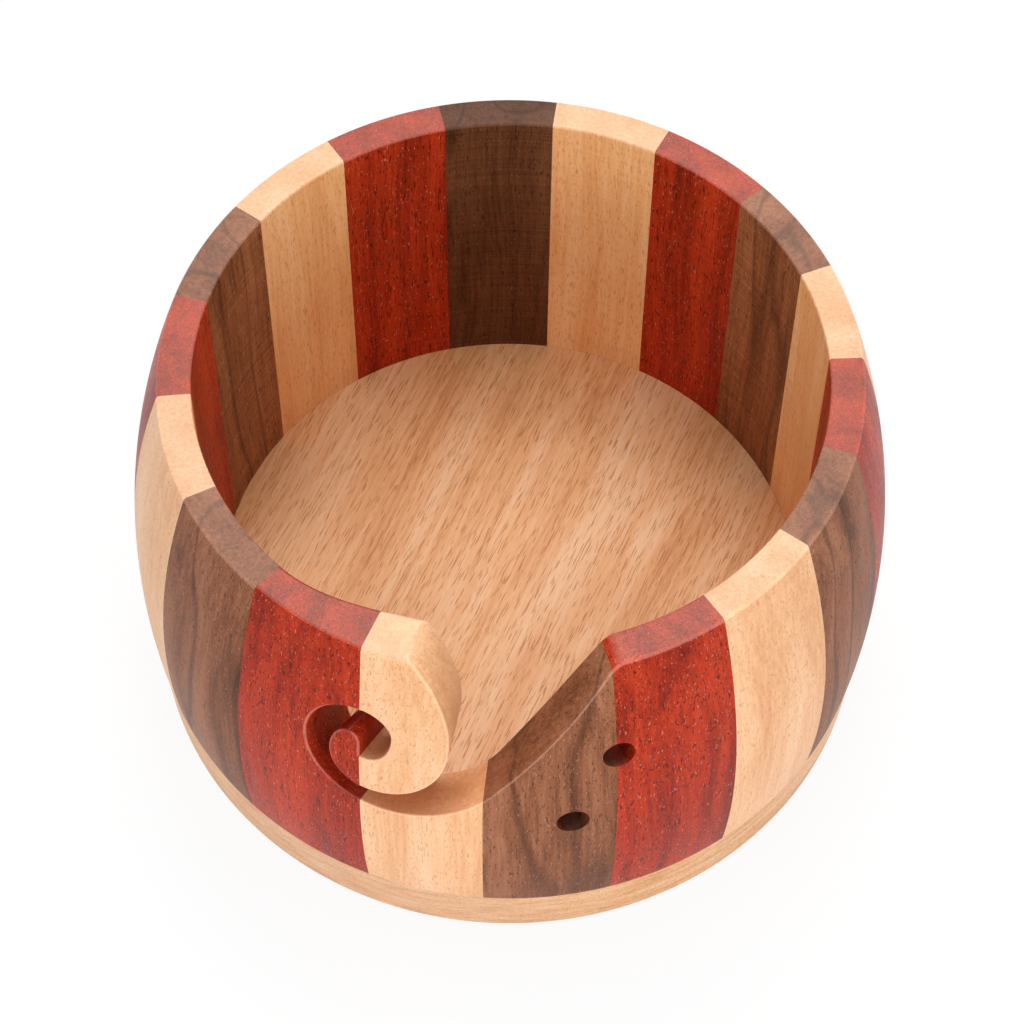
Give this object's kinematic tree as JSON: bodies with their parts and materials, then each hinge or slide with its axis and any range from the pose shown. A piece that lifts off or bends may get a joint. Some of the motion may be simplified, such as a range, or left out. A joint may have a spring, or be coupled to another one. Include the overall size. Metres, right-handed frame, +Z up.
{
  "type": "yarn bowl",
  "caption": "Barrel-shaped yarn bowl of upright glued staves on a round base, with a straight bore, a curled yarn slot and slanting needle holes.",
  "frame": {"origin": "centre of the underside of the base, on the bowl's axis", "axes": "+Z up along the bowl's axis, -Y towards the side with the yarn slot"},
  "size_m": [0.154, 0.154, 0.0905],
  "materials": {
    "beech": "satin oiled",
    "padauk": "satin oiled",
    "walnut": "satin oiled"
  },
  "bodies": {
    "root": {"base_disc": "beech", "beech_stave_1": "beech", "padauk_stave_1": "padauk", "walnut_stave_1": "walnut", "beech_stave_2": "beech", "padauk_stave_2": "padauk", "walnut_stave_2": "walnut", "beech_stave_3": "beech", "padauk_stave_3": "padauk", "walnut_stave_3": "walnut", "slot_sill": "beech", "slot_hook": "beech", "padauk_stave_4": "padauk", "curl_tip": "padauk", "walnut_stave_4": "walnut", "beech_stave_5": "beech", "padauk_stave_5": "padauk", "walnut_stave_5": "walnut", "beech_stave_6": "beech", "padauk_stave_6": "padauk", "walnut_stave_6": "walnut"}
  },
  "joints": []
}
